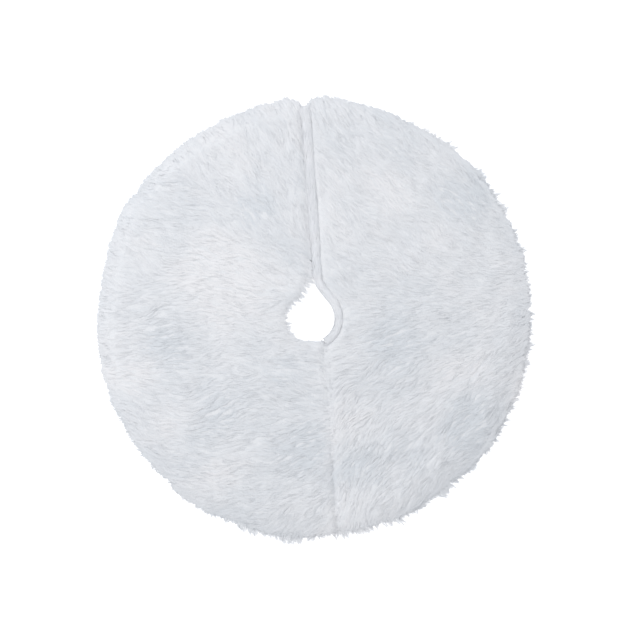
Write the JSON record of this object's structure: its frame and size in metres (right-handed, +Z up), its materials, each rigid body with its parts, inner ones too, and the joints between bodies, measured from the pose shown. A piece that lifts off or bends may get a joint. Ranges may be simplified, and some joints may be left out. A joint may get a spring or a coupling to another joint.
{
  "type": "tree skirt",
  "caption": "Round long-pile plush tree skirt with a trunk hole, a slit closed by hook-and-loop tapes over an underlap, and lined halves that fold flat.",
  "frame": {"origin": "centre of the disc on the floor it lies on", "axes": "+Z up out of the pile, +Y from the trunk hole along the slit to the rim, +X towards the half with the rolled slit edge"},
  "size_m": [0.78, 0.78, 0.026],
  "materials": {
    "pile": "long white plush pile, combed to lie flat",
    "edge_roll": "plush rolled over at the edge, short pile",
    "hem": "plush turned under, pile crushed flat",
    "lining": "matt woven polyester",
    "underlap": "matt knitted backing",
    "loop_tape": "brushed nylon loops",
    "hook_tape": "woven nylon with small hooks",
    "thread": "spun polyester thread"
  },
  "bodies": {
    "left_half": {"left_fur_panel": "pile", "left_lining": "lining", "left_rim_hem": "hem", "left_neck_hem": "hem", "left_slit_hem": "hem", "left_hem_stitching": "thread", "centre_seam_stitching": "thread"},
    "underlap": {"underlap_strip": "underlap", "loop_tape_top": "loop_tape", "loop_tape_middle": "loop_tape", "loop_tape_bottom": "loop_tape"},
    "right_half": {"right_fur_panel": "pile", "right_edge_roll": "edge_roll", "right_lining": "lining", "right_rim_hem": "hem", "right_neck_hem": "hem", "right_slit_hem": "hem", "right_hem_stitching": "thread", "right_slit_stitching": "thread", "hook_tape_top": "hook_tape", "hook_tape_middle": "hook_tape", "hook_tape_bottom": "hook_tape"}
  },
  "joints": [
    {"name": "half_fold", "type": "hinge", "parent": "left_half", "child": "right_half", "pos_m": [0.005, 0, 0.0263], "axis": [0, -1, 0], "range_deg": [0, 180]},
    {"name": "underlap_fold", "type": "hinge", "parent": "left_half", "child": "underlap", "pos_m": [-0.018, 0, 0], "axis": [0, 1, 0], "range_deg": [0, 90]}
  ]
}
